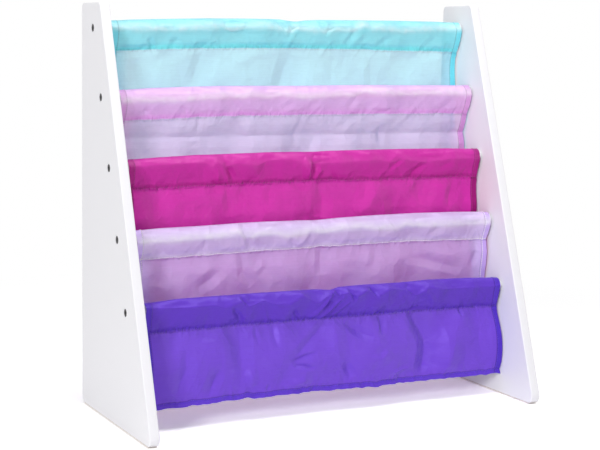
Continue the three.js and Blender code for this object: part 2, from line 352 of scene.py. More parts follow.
# A band's shape, as read from the photograph. Places across are millimetres from the middle, and
# heights are millimetres above the dowel's axis. Top is the sleeve's upper edge, shoulder the
# line where it turns down at the front, and reach how far that stands out before the axis. Tail
# adds to the cloth's depth at each drop below the axis, and right edge is where it ends there. A
# fold is its place, its depth as a share of the usual one, and its width. Pucker is how far apart
# the seam's gathers are and how high. A crease is a line of points, how far it lifts the cloth,
# and its width, or its widths on both sides, and depth makes all of them deeper.
usual_shape = {
    "shoulder_bend": 6,
    "shoulder_ridge": 0.2,
    "right_edge": [(-20, 302.5), (250, 302.5)],
    "reach": [(-303, 12), (-200, 12.5), (0, 12.5), (200, 12.5), (303, 12.5)],
    "tail_tilt": 0,
    "tail_bend": 6,
}
shapes = {}


def between(knots, places, softness):
    """Values at the places, in metres, from knots in millimetres: straight between the knots,
    and rounded over the softness."""
    at, value = np.array(knots, dtype=float).T
    taps = np.linspace(-1, 1, 9)
    weights = np.exp(-2 * taps**2)
    sums = sum(
        weight * np.interp(places + tap * softness * mm, at * mm, value * mm)
        for tap, weight in zip(taps, weights)
    )
    return sums / weights.sum()


def packing_folds(band, x):
    """How far the folds from packing push a band back."""
    across = x / folded_width + 0.5
    return sum(
        fold_depth * depth * np.exp(-(((across - at) / wide) ** 2))
        for at, depth, wide in shapes[band]["folds"]
    )


def band_depth(band, x, drop):
    """Depth of a band behind its dowel's axis at a drop below it. The lowest band hangs free,
    and each other one ends on the back of the band in front of it."""
    hang = np.maximum(0, drop - sleeve_drop)
    push = packing_folds(band, x)
    if band == len(bands) - 1:
        share = hang / (pocket_seam_drop - sleeve_drop)
        kick = 3 * mm * np.maximum(0, drop - pocket_seam_drop) / seam_allowance
        swell = np.sin(math.pi * np.minimum(share, 1) * 0.78)
        return seam_offset - kick + swell * (push - free_belly)
    share = np.minimum(1, hang / (dowel_pitch + pocket_seam_drop - sleeve_drop))
    foot = band_depth(band + 1, x, np.maximum(pocket_seam_drop, drop - dowel_pitch))
    end = foot - dowel_step + cloth_gap
    swell = np.sin(math.pi * share)
    return seam_offset + share * (end - seam_offset) + swell * (pocket_belly + push)


def rounded_run(corners, radii, steps=14):
    """Points along straight sides with a round at each inner corner, for every column at once.
    Corners are pairs of depth and height arrays."""
    corners = [np.stack(np.broadcast_arrays(*c), axis=-1) for c in corners]
    run = [corners[0][:, None, :]]
    for before, at, after, radius in zip(corners, corners[1:], corners[2:], radii):
        back, on = before - at, after - at
        near = np.linalg.norm(back, axis=-1, keepdims=True)
        far = np.linalg.norm(on, axis=-1, keepdims=True)
        start = at + back / near * np.minimum(radius, near * 0.48)
        end = at + on / far * np.minimum(radius, far * 0.48)
        t = np.linspace(0, 1, steps)[None, :, None]
        run.append(
            (1 - t) ** 2 * start[:, None] + 2 * t * (1 - t) * at[:, None] + t**2 * end[:, None]
        )
    run.append(corners[-1][:, None, :])
    return np.concatenate(run, axis=1)


def even_rows(run, count):
    """The same lines with evenly spaced points, and each line's length."""
    lengths = np.linalg.norm(np.diff(run, axis=1), axis=-1)
    travelled = np.concatenate([np.zeros((len(run), 1)), np.cumsum(lengths, axis=1)], axis=1)
    rows = np.empty((len(run), count, 2))
    for i, (line, s) in enumerate(zip(run, travelled)):
        wanted = np.linspace(0, s[-1], count)
        rows[i, :, 0] = np.interp(wanted, s, line[:, 0])
        rows[i, :, 1] = np.interp(wanted, s, line[:, 1])
    return rows, travelled[:, -1]


def crease(x, height, line, lift, width, far_width=None):
    """A crease along a line of points, in millimetres, that lifts the cloth out of its plane and
    fades at both ends. A negative lift is a valley. Its flanks run straight down to the cloth,
    over the width, or the far width on the side to the right of a line drawn downwards."""
    points = np.array(line, dtype=float) * mm
    spans = np.linalg.norm(np.diff(points, axis=0), axis=1)
    whole, done = spans.sum(), 0
    total, nearest = 0, np.inf
    for (x1, h1), (x2, h2), span in zip(points, points[1:], spans):
        t = ((x - x1) * (x2 - x1) + (height - h1) * (h2 - h1)) / span**2
        held = np.clip(t, 0, 1)
        away = np.hypot(x - x1 - held * (x2 - x1), height - h1 - held * (h2 - h1))
        right = (x2 - x1) * (height - h1) - (h2 - h1) * (x - x1) > 0
        reach = np.where(right, far_width or width, width) * mm
        along = (done + held * span) / whole
        flank = np.maximum(0, 1 - np.sqrt((away / reach) ** 2 + 0.004)) ** 1.1
        strength = lift * mm * flank * (0.15 + 0.85 * np.sin(math.pi * along) ** 0.7)
        total = np.where(away < nearest, strength, total)
        nearest = np.minimum(nearest, away)
        done += span
    return total


def seam_puckers(x, below, seed, spacing, lift, above_reach, below_reach):
    """The small gathers that a tight seam draws into the cloth on both sides of it, with their
    spacing, lift and reaches in millimetres. X has the columns' places, and below has the rows'
    distances under the seam, in metres."""
    random = np.random.default_rng(seed)
    total = np.zeros((len(x), len(below)))
    at = left_end
    while at < right_end:
        at += spacing * mm * random.uniform(0.45, 1.6)
        wide = spacing * mm * random.uniform(0.22, 0.5)
        slant = random.uniform(-0.9, 0.9)
        up = above_reach * mm * random.uniform(0.5, 1.5)
        down = below_reach * mm * random.uniform(0.5, 1.5)
        high = lift * mm * random.uniform(0.25, 1.0) * random.choice([1, 1, -0.7])
        nearby = np.abs(x - at) < 12 * wide
        shift = (x[nearby, None] - at + slant * below) / wide
        fade = np.exp(-np.where(below < 0, -below / up, below / down))
        total[nearby] += high * np.exp(-(shift**2)) * fade
    return total


def soft_waves(x, height, seed, size, lift):
    """Slow swells of the cloth, from a few long waves in chance directions. Size and lift are in
    millimetres."""
    random = np.random.default_rng(seed)
    total = 0
    for _ in range(9):
        turn = random.uniform(-0.9, 0.9)
        wave = size * mm * random.uniform(0.6, 1.8)
        phase = random.uniform(0, math.tau)
        along = x * math.cos(turn) + height * math.sin(turn)
        total += np.sin(math.tau * along / wave + phase) * random.uniform(0.3, 1)
    return total * lift * mm / 3


def grid_normals(grid):
    """Outward normals of a sheet's grid."""
    normal = np.cross(np.gradient(grid, axis=1), np.gradient(grid, axis=0))
    return normal / np.linalg.norm(normal, axis=-1, keepdims=True)


def sleeve_lines(shape, x, shoulder, seam):
    """Each column's line round the sleeve, from the edge of its back layer over the dowel to the
    seam at the front, and the lines' lengths."""
    top = np.maximum(between(shape["top"], x, 6) - 0.6 * mm, rod_clearance + 0.8 * mm)
    reach = between(shape["reach"], x, 20)
    # Each corner is a depth behind the axis and a height above it, and rounds are in millimetres
    corners = [
        (seam_offset + 2.2 * mm, seam + sleeve_tuck),
        (seam_offset + 0.35 * mm, seam + 0.3 * mm),
        (seam_offset + 0.9 * mm, seam + 0.3 * mm),
        (sleeve_back, np.full_like(x, -4 * mm)),
        (8.3 * mm, 7.6 * mm + 0.5 * (top - rod_clearance)),
        (-0.5 * mm, top + 0.5 * mm),
        (-6.8 * mm, shoulder + 0.66 * (top - shoulder)),
        (-reach, shoulder),
        (-0.5 * reach, 0.4 * shoulder + 0.6 * seam),
        (seam_offset, seam),
    ]
    radii = np.array([0.3, 0.3, 9, 7, 6, 7, shape["shoulder_bend"], 12]) * mm
    return even_rows(rounded_run(corners, radii), 84)


def tail_lines(band, shape, x, seam):
    """Each column's line from the seam down to the foot, and the lines' lengths. A hidden foot
    ends a little higher, so that it never shows under the band in front."""
    if band == len(bands) - 1:
        count = 78
        foot = between(shape["foot"], x, 4) + soft_waves(x, 0, 61, size=16, lift=0.7)
    else:
        count = 128
        foot = 3.5 * mm - (pocket_seam_drop + dowel_pitch + seam_allowance)
    heights = seam[:, None] + (foot - seam)[:, None] * np.linspace(0, 1, 240)
    tilted = -heights - shape["tail_tilt"] * x[:, None]
    depths = band_depth(band, x[:, None], -heights)
    depths += between(shape["tail"], tilted, shape["tail_bend"])
    return even_rows(np.stack([depths, heights], axis=-1), count)


def front_wrinkles(band, shape, x, height, below):
    """How far the seam's gathers, the creases and slow swells move the front along its normal.
    Below has the rows' distances under the seam."""
    spacing, lift = shape["pucker"]
    seed = band * 7
    push = seam_puckers(x, below, seed + 1, spacing, lift, above_reach=9, below_reach=6)
    push += seam_puckers(x, below, seed + 2, 24, lift * 1.3, above_reach=16, below_reach=20)
    for line, high, *widths in shape["creases"]:
        push += crease(x[:, None], height, line, high, *widths) * shape["depth"]
    swells = soft_waves(x[:, None], height, seed + 3, size=75, lift=3.2)
    return push + swells * np.minimum(1, np.abs(below) / (12 * mm))


def hang_band(band, shape):
    """The grid of a band's points, its UV places, the row of its front seam, and the strength of
    the highlight painted on its front round a line 2 mm above the shoulder."""
    # Even columns, and three close together where each side hem ends
    step = 0.5 * mm
    edge = np.array([side_hem - step, side_hem, side_hem + step])
    across = np.unique(
        np.concatenate([np.linspace(0, band_width, 441), edge, band_width - edge])
    )
    x = left_end + across
    shoulder = between(shape["shoulder"], x, 4)
    seam = between(shape["seam"], x, 15)
    sleeve, sleeve_lengths = sleeve_lines(shape, x, shoulder, seam)
    tail, tail_lengths = tail_lines(band, shape, x, seam)
    rows = np.concatenate([sleeve, tail[:, 1:]], axis=1)
    seam_row = sleeve.shape[1] - 1
    order = np.arange(rows.shape[1])
    # The rows' distances along the cloth are those of its mean column
    v = np.concatenate([
        np.linspace(0, sleeve_lengths.mean(), seam_row + 1),
        sleeve_lengths.mean() + np.linspace(0, tail_lengths.mean(), tail.shape[1])[1:],
    ])
    stretched = (between(shape["right_edge"], -rows[..., 1], 12) - left_end) / band_width
    grid = np.empty((len(x), len(v), 3))
    grid[..., 0] = left_end + across[:, None] * stretched
    grid[..., 1:] = rows

    # Wrinkles move the cloth along its own normal, but hardly where the band behind is sewn on
    height = rows[..., 1].copy()
    top_row = int(np.argmax(height.mean(axis=0)))
    below = v - v[seam_row]
    push = front_wrinkles(band, shape, x, height, below)
    from_pocket_seam = -height - pocket_seam_drop - seam_allowance / 2
    from_pocket_seam = np.abs(from_pocket_seam) - seam_allowance / 2
    push *= np.clip(from_pocket_seam / (14 * mm), 0.1, 1)
    ridge = np.exp(-(((height - shoulder[:, None]) / (1.7 * mm)) ** 2)) * (below < -8 * mm)
    push += shape["shoulder_ridge"] * mm * ridge
    push *= np.clip((order - top_row) / 8, 0, 1)

    # The sleeve's back layer is gathered above its own seam
    gathers = seam_puckers(x, sleeve_tuck - v, band * 7 + 4, 9, 0.9, above_reach=5, below_reach=9)
    fade = np.clip((top_row - order) / 12, 0, 1)
    push += gathers * fade * np.clip((v - sleeve_tuck) / (4 * mm), 0, 1)

    # The free foot is gathered by its hem's seam, and a sewn one is held flat
    from_foot = v[-1] - v
    lowest = band == len(bands) - 1
    if lowest:
        over_hem = seam_allowance - from_foot
        push += seam_puckers(x, over_hem, 95, 7, 1.8, above_reach=7, below_reach=9)
        push -= 0.9 * mm * np.exp(-(((from_foot - seam_allowance) / (1.5 * mm)) ** 2))
    else:
        push *= np.clip(from_foot / (45 * mm), 0.15, 1)
    # Cloth that is sewn to cloth neither sinks into it nor lifts off it
    push = np.where(from_pocket_seam < 4 * mm, np.maximum(push, -0.7 * mm), push)
    if not lowest:
        push = np.where(from_foot < seam_allowance + 4 * mm, np.minimum(push, 0.1 * mm), push)
    # The side hems are a low step
    hem = np.minimum(across, band_width - across) < side_hem
    front = order >= top_row
    push += np.where(hem, 0.35 * mm, 0)[:, None] * np.where(front, 1, 0.6)
    grid += grid_normals(grid) * push[..., None]

    # The sleeve never cuts into its dowel
    ring = grid[:, : seam_row + 1, 1:]
    radius = np.hypot(ring[..., 0], ring[..., 1])
    ring *= np.maximum(1, rod_clearance / radius)[..., None]
    grid[..., 1:] += dowel_axis(band)

    # Painted highlight: the cloth is whitened round a line 2 mm above the shoulder, for the sheen
    # where the cloth turns and for the white rod behind it
    past = height - shoulder[:, None] - 2 * mm
    over_rod = np.exp(-((past / np.where(past > 0, 7 * mm, 5 * mm)) ** 2))
    return grid, across, v, seam_row, over_rod * (front & (below < -8 * mm))


def cloth_piece(name, grid, across, v, over_rod, material):
    """A sheet's object from its grid of points, with a UV map in metres along the cloth."""
    columns, count = grid.shape[:2]
    bm = bmesh.new()
    bmesh.ops.create_grid(bm, x_segments=count - 1, y_segments=columns - 1, size=1)
    mesh = as_mesh(bm, name)
    start = np.empty(len(mesh.vertices) * 3)
    mesh.vertices.foreach_get("co", start)
    start = start.reshape(-1, 3)
    row = np.rint((start[:, 0] + 1) / 2 * (count - 1)).astype(int)
    column = np.rint((start[:, 1] + 1) / 2 * (columns - 1)).astype(int)
    mesh.vertices.foreach_set("co", grid[column, row].ravel())
    corner = np.empty(len(mesh.loops), dtype=int)
    mesh.loops.foreach_get("vertex_index", corner)
    uv = mesh.uv_layers.new(name="cloth")
    at = np.stack([across[column[corner]], v[row[corner]]], axis=1)
    uv.data.foreach_set("uv", at.ravel())
    # The strength of the painted highlight at each point, for the material
    highlight_layer = mesh.attributes.new("over_rod", "FLOAT", "POINT")
    highlight_layer.data.foreach_set("value", over_rod[column, row])
    mesh.update()
    mesh.shade_smooth()
    if mesh.polygons[len(mesh.polygons) // 2].normal.y > 0:
        mesh.flip_normals()
    return placed(name, mesh, material)


def dyed_nylon(name, dye, seam_v, foot_v):
    """Plain-woven nylon taffeta, dyed in the piece: thin, crisp and slightly see-through, with a
    silky sheen, and deeper in colour where it is folded in the hems and seams. Shade is painted
    along its rows of stitches and between the seam's gathers, and a highlight above the sleeve's
    shoulder. The dye tells the colours, how much of the sleeve's colour shows in it (doubled),
    how dark the painted shade between the gathers is and how strong the painted highlight is
    (gather_shade, highlight_strength), and how open the weave is (see_through)."""
    material, add = new_material(name)
    place = add("UVMap", {"uv_map": "cloth"})
    parts = add("SeparateXYZ", Vector=place).node
    u, v = parts.outputs["X"], parts.outputs["Y"]

    def maths(operation, *values):
        """The result of one step of arithmetic."""
        sockets = {f"_{i}": value for i, value in enumerate(values)}
        return add("Math", {"operation": operation}, **sockets)

    def fade(value, start, end, at_start, at_end, kind="LINEAR"):
        """A value that goes from one number to another between two places."""
        return add(
            "MapRange", {"interpolation_type": kind}, Value=value, From_Min=start,
            From_Max=end, To_Min=at_start, To_Max=at_end,
        )

    def mixed(share, under, over):
        """Two colours mixed."""
        return add("Mix", {"data_type": "RGBA"}, _0=share, _6=under, _7=over)

    def stretched(width, length, turn=0.0):
        """Places for a pattern with this width and length in millimetres."""
        scale = (1 / (width * mm), 1 / (length * mm), 1)
        return add("Mapping", Vector=place, Rotation=(0, 0, turn), Scale=scale)

    # Side hems, and the seam allowances that lie behind the seam and at the foot
    from_side = maths("MINIMUM", u, maths("SUBTRACT", band_width, u))
    hems = fade(from_side, side_hem - 0.3 * mm, side_hem + 0.3 * mm, 1.0, 0.0)
    at_foot = fade(v, foot_v - 0.3 * mm, foot_v + 0.3 * mm, 0.0, 1.0)
    layered = maths("MAXIMUM", hems, maths("MULTIPLY", at_foot, 0.7))
    above_seam = maths("LESS_THAN", v, seam_v)
    # The raw edge is turned up inside the sleeve, and frays: a deeper strip with an uneven top
    frayed = add("TexNoise", Vector=place, Scale=1 / (5 * mm), Detail=2.0)
    turned_up = fade(
        maths("MULTIPLY_ADD", frayed, 4 * mm, v), seam_v - 6.5 * mm, seam_v - 2.5 * mm,
        dye["doubled"], 0.95,
    )
    in_sleeve = maths("MULTIPLY", above_seam, turned_up)

    # Threads lie about 0.12 mm apart, too fine to show, so they are drawn 0.9 mm apart
    thread_pitch = 0.9 * mm
    warp, weft = (
        add(
            "TexWave", {"bands_direction": way}, "Fac", Vector=place,
            Scale=math.tau / 20 / thread_pitch, Distortion=0.6, Detail=1.0, Detail_Scale=2.0,
        )
        for way in "XY"
    )
    weave = maths("MULTIPLY", warp, weft)
    slubs = add("TexNoise", Scale=1.0, Detail=3.0, Vector=stretched(30, 1.6))
    crinkle = add(
        "TexNoise", Vector=place, Scale=1 / (14 * mm), Detail=3.0, Roughness=0.55, Distortion=0.8
    )
    # The seam's thread gathers the cloth into ticks 3 mm apart that run out 9 mm from the seam
    past_seam = maths("SUBTRACT", v, seam_v)
    from_seam = maths(
        "MAXIMUM", maths("MULTIPLY", past_seam, -1.0), maths("MULTIPLY", past_seam, 2.0)
    )
    near_seam = fade(from_seam, 0.0, 8 * mm, 1.0, 0.0, "SMOOTHSTEP")
    ticks = add("TexNoise", Scale=1.0, Detail=1.0, Vector=stretched(2.6, 9, 0.35))
    fine = add("Bump", Strength=0.3, Distance=0.12 * mm, Height=weave)
    gathers = maths("MULTIPLY", near_seam, ticks)
    gathered = add("Bump", Strength=1.0, Distance=2.6 * mm, Height=gathers, Normal=fine)
    # Shallow crumples in patches about 26 by 44 mm, and crinkles about 14 mm across
    bent = add("TexNoise", output="Color", Vector=place, Scale=1 / (40 * mm), Detail=2.0)
    patches = add(
        "VectorMath", {"operation": "MULTIPLY_ADD"}, _0=bent, _1=(1.2, 1.2, 0),
        _2=stretched(26, 44, 0.5),
    )
    crumpled = add("TexVoronoi", Scale=1.0, Randomness=1.0, Vector=patches)
    pressed = add("Bump", Strength=0.8, Distance=3.6 * mm, Height=crumpled, Normal=gathered)
    folded = add("Bump", Strength=0.7, Distance=1.5 * mm, Height=crinkle, Normal=pressed)

    # Painted shade darkens the cloth along each row of stitches and between the seam's gathers
    from_rows = maths(
        "MINIMUM", maths("ABSOLUTE", maths("SUBTRACT", from_side, side_hem)),
        maths("ABSOLUTE", maths("SUBTRACT", v, foot_v)),
    )
    stitch_row_shade = fade(from_rows, 0.2 * mm, 1.3 * mm, 0.72, 1.0)
    gather_valleys = fade(ticks, 0.4, 0.52, 1.0, 0.0)
    shaded = maths("MULTIPLY", maths("MULTIPLY", gather_valleys, near_seam), -dye["gather_shade"])
    patchy = maths(
        "MULTIPLY", maths("MULTIPLY_ADD", shaded, stitch_row_shade, stitch_row_shade),
        maths("MULTIPLY_ADD", slubs, 0.14, 0.93),
    )
    hem_tint = maths("MULTIPLY", layered, maths("MULTIPLY_ADD", above_seam, -0.3, 1.0))
    plain = mixed(in_sleeve, linear(dye["cloth"]), linear(dye["sleeve"]))
    dyed = mixed(hem_tint, plain, linear(dye["hem"]))
    # Painted highlight: the colour is mixed towards white, in patches, just above the shoulder
    over_rod = add("Attribute", {"attribute_name": "over_rod"}, "Fac")
    lit = maths("MULTIPLY", over_rod, maths("MULTIPLY", crinkle, 2 * dye["highlight_strength"]))
    tint = mixed(lit, dyed, linear("#ffffff"))
    shade = add("CombineColor", Red=patchy, Green=patchy, Blue=patchy)
    varied = add(
        "Mix", {"data_type": "RGBA", "blend_type": "MULTIPLY"}, _0=1.0, _6=tint, _7=shade
    )
    face = add(
        "BsdfPrincipled", Base_Color=varied, Roughness=0.36, Sheen_Weight=0.15,
        Sheen_Roughness=0.35, Specular_IOR_Level=dye["gloss"],
        Specular_Tint=linear(dye["shine"]), Normal=folded,
    )
    glow = add("BsdfTranslucent", Color=varied, Normal=folded)
    woven = add("MixShader", _0=0.1, _1=face, _2=glow)
    gaps = add(
        "MixShader", _0=0.35, _1=add("BsdfTransparent", Color=(1, 1, 1, 1)),
        _2=add("BsdfTransparent", Color=linear(dye["cloth"])),
    )
    # Less shows through the cloth near the side hems, which keeps the panel behind from showing
    see_through_near_hems = fade(from_side, side_hem, side_hem + 24 * mm, 0.3, 1.0, "SMOOTHSTEP")
    open_share = maths(
        "MULTIPLY", maths("MULTIPLY", dye["see_through"], see_through_near_hems),
        maths("MULTIPLY_ADD", layered, -0.75, 1.0),
    )
    add("OutputMaterial", Surface=add("MixShader", _0=open_share, _1=woven, _2=gaps))
    return material


def sewing_thread(name, colour):
    """Twisted polyester thread, with a soft shine and its twist showing as slanting ridges."""
    material, add = new_material(name)
    place = add("TexCoord", output="Object")
    twist = add(
        "TexWave", {"bands_direction": "DIAGONAL"}, "Fac", Vector=place, Scale=0.9 / mm
    )
    ply = add("Bump", Strength=0.5, Distance=0.1 * mm, Height=twist)
    strand = add(
        "BsdfPrincipled", Base_Color=linear(colour), Roughness=0.42, Sheen_Weight=0.2, Normal=ply
    )
    add("OutputMaterial", Surface=strand)
    return material


def stitched(name, lines, thick, material):
    """Rows of stitches as one piece. Each line is the points and the outward normals that it
    follows, close together. A stitch is 2.2 mm long, and they start 3 mm apart."""
    pitch, long, proud = 3 * mm, 2.2 * mm, 0.12 * mm
    bm = bmesh.new()
    bmesh.ops.create_uvsphere(bm, u_segments=6, v_segments=4, radius=1)
    single = as_mesh(bm, "stitch")
    bm = bmesh.new()
    for points, normals in lines:
        spans = np.linalg.norm(np.diff(points, axis=0), axis=1)
        travelled = np.concatenate([[0], np.cumsum(spans)])
        for start in np.arange(pitch / 2, travelled[-1] - long, pitch):
            places = np.array([start, start + long / 2, start + long])
            here = np.stack([np.interp(places, travelled, points[:, k]) for k in range(3)], axis=1)
            out = np.array([np.interp(places[1], travelled, normals[:, k]) for k in range(3)])
            out /= np.linalg.norm(out)
            run = here[2] - here[0]
            run /= np.linalg.norm(run)
            side = np.cross(out, run)
            middle = here[1] + out * proud
            axes = np.stack([side * thick, out * thick, run * long / 2, middle], axis=1)
            stitch = single.copy()
            stitch.transform(Matrix((*axes.tolist(), (0, 0, 0, 1))))
            bm.from_mesh(stitch)
            bpy.data.meshes.remove(stitch)
    bpy.data.meshes.remove(single)
    bmesh.ops.recalc_face_normals(bm, faces=bm.faces)
    return finished(bm, name, material, 70)


def line_across(grid, normals, v, at):
    """A line over the band's whole width at a distance along its cloth."""
    row = np.searchsorted(v, at)
    share = (at - v[row - 1]) / (v[row] - v[row - 1])
    return grid[:, row - 1] * (1 - share) + grid[:, row] * share, normals[:, row]


def make_band(name, own_shape, dye, thread_radius=0.3 * mm):
    """A whole band: its cloth, its stitching and what the frame needs to know of them. Thread is
    0.4 mm thick, which is too fine to show, so it is drawn thicker."""
    band = bands.index(name)
    shapes[band] = {**usual_shape, **own_shape}
    grid, across, v, seam_row, over_rod = hang_band(band, shapes[band])
    foot_v = v[-1] - seam_allowance
    cloth = dyed_nylon(f"{name} nylon taffeta", dye, v[seam_row], foot_v)
    piece = cloth_piece(f"cloth_{name}", grid, across, v, over_rod, cloth)
    normals = grid_normals(grid)
    lines = [line_across(grid, normals, v, v[seam_row] - 0.9 * mm)]
    for at in (side_hem - 1.2 * mm, band_width - side_hem + 1.2 * mm):
        column = np.searchsorted(across, at)
        lines.append((grid[column], normals[column]))
    lines.append(line_across(grid, normals, v, foot_v + 1 * mm))
    thread = sewing_thread(f"{name} thread", dye["thread"])
    sewn = stitched(f"stitching_{name}", lines, thread_radius, thread)
    for part in (piece, sewn):
        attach(part, "root")
    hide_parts(f"sling_{name}")


purple_shape = {
    "top": [
        (-303, 11), (-289, 12.2), (-240, 15.8), (-140, 16), (-40, 15.2), (-14, 14.3), (7, 11.2),
        (19, 15.4), (50, 16.4), (123, 15.3), (177, 16.8), (250, 14.5), (299, 11.4), (303, 10.5),
    ],
    "shoulder": [
        (-303, 4), (-284, 4.6), (-233, 2.7), (-186, 2.9), (-172, -1.8), (-143, 5.5), (-129, -3.1),
        (-110, 4.5), (-90, -3.1), (-65, -3.3), (-48, 6.4), (-20, -6.1), (9, 11), (18, 3.3),
        (32, 6.9), (46, -0.5), (63, 8.5), (83, -2.2), (102, 7.1), (129, 4.9), (151, -6.4),
        (170, 4.9), (194, 0.5), (294, -1.5), (303, -1.5),
    ],
    "shoulder_bend": 2,
    "shoulder_ridge": 0.8,
    "right_edge": [(-20, 301.2), (34, 301.2), (60, 302.3), (150, 303.8)],
    "reach": [(-303, 10), (-200, 12), (0, 13), (200, 12.5), (303, 9)],
    "seam": [
        (-303, -33), (-277, -32), (-98, -31), (21, -31.5), (200, -32.6), (303, -34),
    ],
    "foot": [
        (-303, -143.5), (-280, -143), (-262, -141), (-240, -142), (-222, -140.2), (-200, -141),
        (-170, -139.5), (-150, -140.4), (-130, -139), (-112, -141.4), (-90, -139.2), (-60, -140),
        (-30, -138.8), (0, -141), (40, -140.2), (80, -141.4), (110, -140), (150, -141.2),
        (200, -140.4), (260, -141), (290, -140.4), (303, -141.6),
    ],
    "folds": [
        (0.13, -0.5, 0.08), (0.26, 0.7, 0.05), (0.5, 0.8, 0.05), (0.63, -0.5, 0.07),
        (0.75, 1, 0.06),
    ],
    "tail": [
        (0, 0), (34, 0), (54, -4), (80, -6.5), (100, -6.5), (125, -5.7), (140, -5.5),
        (160, -5.5),
    ],
    "pucker": (5, 1.7),
    "depth": 1.8,
    "creases": [
        (
            [(145, -31), (163, -58), (171, -77), (172, -92), (169, -112), (163, -134)],
            -10.5, 21, 36,
        ),
        ([(-143, -30), (-143, -57), (-143, -93), (-146, -120)], -4.4, 30, 20),
        ([(7, -28), (8, -50), (12, -75), (18, -110)], 4.4, 50, 20),
        ([(4, -32), (-30, -62), (-64, -92)], -4.6, 12, 32),
        ([(-62, -91), (-40, -84), (-21, -80)], -3, 12, 3.5),
        ([(-60, -97), (-43, -98), (-26, -102)], -2.8, 6, 3.5),
        ([(30, -42), (52, -53), (75, -65)], -3.4, 12, 9),
        ([(99, -85), (93, -93), (85, -97), (70, -95)], 2.5, 7, 16),
        ([(91, -34), (92, -48), (90, -62)], -2.8, 7, 10),
        ([(26, -100), (30, -110), (38, -126)], -2.5, 8, 10),
        ([(108, -122), (126, -119), (142, -120)], 1.7, 5),
        ([(-82, -129), (-60, -126), (-38, -121)], 2, 6, 9),
        ([(-90, -33), (-89, -50), (-86, -68)], -1.9, 8),
        ([(-117, -33), (-118, -48), (-116, -60)], -1.4, 6),
        ([(-104, -141), (-103, -134), (-102, -122)], -2.5, 4),
        ([(-131, -96), (-129, -108), (-127, -122)], 2.8, 9, 12),
        ([(-195, -46), (-210, -75), (-216, -100)], 2.5, 26, 22),
        ([(-233, -60), (-232, -88), (-250, -125)], -5, 26, 16),
        ([(-180, -92), (-190, -115), (-200, -136)], -4, 18, 12),
        ([(233, -31), (233, -36), (235, -46)], -2.8, 4, 5),
        ([(205, -60), (215, -90), (210, -118)], 2.3, 26),
        ([(270, -50), (262, -85), (268, -118)], -2.2, 22),
        ([(-30, -27), (-14, -14), (6, 4)], 2.8, 5),
        ([(-14, -28), (2, -18), (26, 0)], 2.3, 4),
        ([(2, -29), (20, -20), (36, -8)], 1.6, 4),
        ([(-20, -20), (-4, -9), (12, 3)], -2.2, 4),
        ([(11, 15), (16, 8), (21, -2)], -4.7, 5, 4),
        ([(33, 10), (39, 3), (44, -6)], -3.4, 4),
        ([(70, 12), (77, 4), (82, -4)], -3.1, 4),
        ([(-143, 12), (-139, 6), (-132, -2)], -2.8, 4),
        ([(-158, -4), (-148, -14), (-140, -28)], -2.8, 6),
        ([(-58, -14), (-52, -22), (-48, -29)], -2.2, 5),
        ([(137, 14), (138, 6), (146, -6)], -2.8, 4),
        ([(160, 4), (172, -6), (186, -20)], 1.9, 7),
    ],
}
purple_dye = {
    "cloth": "#784cd6", "sleeve": "#5c36c2", "hem": "#5635c4", "shine": "#a890f4",
    "thread": "#6a42d4", "doubled": 0.6, "gather_shade": 0.27, "highlight_strength": 0.0, "see_through": 0.05,
    "gloss": 0.6,
}
make_band("purple", purple_shape, purple_dye)

# Lavender band
# It lies in front of the third pocket, and its foot is sewn to the back of the purple band. The
# magenta band behind it shows through, and its seam shows as a bright white line.
lavender_shape = {
    "top": [
        (-303, 12), (-290, 13), (-253, 14.8), (-194, 14.8), (-126, 16.2), (-91, 16.2),
        (-30, 15.1), (-6, 13.8), (35, 15.8), (101, 17.1), (169, 16.9), (238, 15.4),
        (285, 13.2), (303, 11),
    ],
    "shoulder": [
        (-303, -5), (-239, -5.5), (-219, -4.3), (-169, -3.4), (-134, 1), (-126, -5.6), (-111, -7),
        (-101, -3.3), (-76, -3.7), (-55, -9.5), (-38, -7.6), (-15, -1.6), (7, -6.5), (35, -1.2),
        (72, -0.2), (95, -5), (130, -7), (151, -1.3), (185, -5), (208, -6.2), (288, -6), (303, -6),
    ],
    "right_edge": [(-20, 301.8), (34, 301.8), (50, 302.5), (250, 302.5)],
    "reach": [(-303, 11), (-200, 12.5), (0, 13), (200, 12.5), (303, 10)],
    "seam": [
        (-303, -31), (-244, -31), (-163, -29.6), (-50, -28.6), (5, -28), (100, -28.2),
        (170, -29), (239, -30.5), (303, -32.5),
    ],
    "folds": [
        (0.14, -0.4, 0.07), (0.27, 0.5, 0.06), (0.5, 0.7, 0.06), (0.66, -0.4, 0.07),
        (0.79, 0.6, 0.05),
    ],
    "tail": [(0, 0), (34, 0), (51, -4.5), (72, -4), (93, -2), (120, 0), (160, 0)],
    "pucker": (7, 1.3),
    "depth": 1.5,
    "creases": [
        ([(-127, 4), (-120, -8), (-108, -26)], -3.1, 8),
        ([(-188, -6), (-187, -14), (-186, -22)], -1.7, 6),
        ([(-51, -10), (-46, -18), (-40, -26)], -2.8, 8),
        ([(-40, -24), (-30, -14), (-22, -4)], 1.7, 8),
        ([(96, 6), (104, -4), (112, -14)], -1.7, 8),
        ([(112, 8), (120, -2), (126, -10)], 1.7, 6),
        ([(185, -24), (200, -14), (215, -6)], -1.7, 10),
        ([(-10, 10), (0, 2), (8, -8)], 2, 8),
        ([(8, -26), (7, -48), (8, -72)], -3.6, 11, 18),
        ([(-250, -30), (-252, -52), (-256, -72)], -3.6, 19, 15),
        ([(-156, -52), (-176, -67), (-198, -80)], -3, 14),
        ([(-126, -28), (-122, -60), (-108, -82)], -3.4, 12, 17),
        ([(160, -53), (200, -62), (256, -77)], -3.2, 12, 16),
        ([(-90, -40), (-94, -52), (-104, -62)], 2, 9),
        ([(96, -32), (86, -46), (80, -60)], 1.8, 14),
        ([(282, -50), (280, -62), (276, -74)], -2.4, 9),
    ],
}
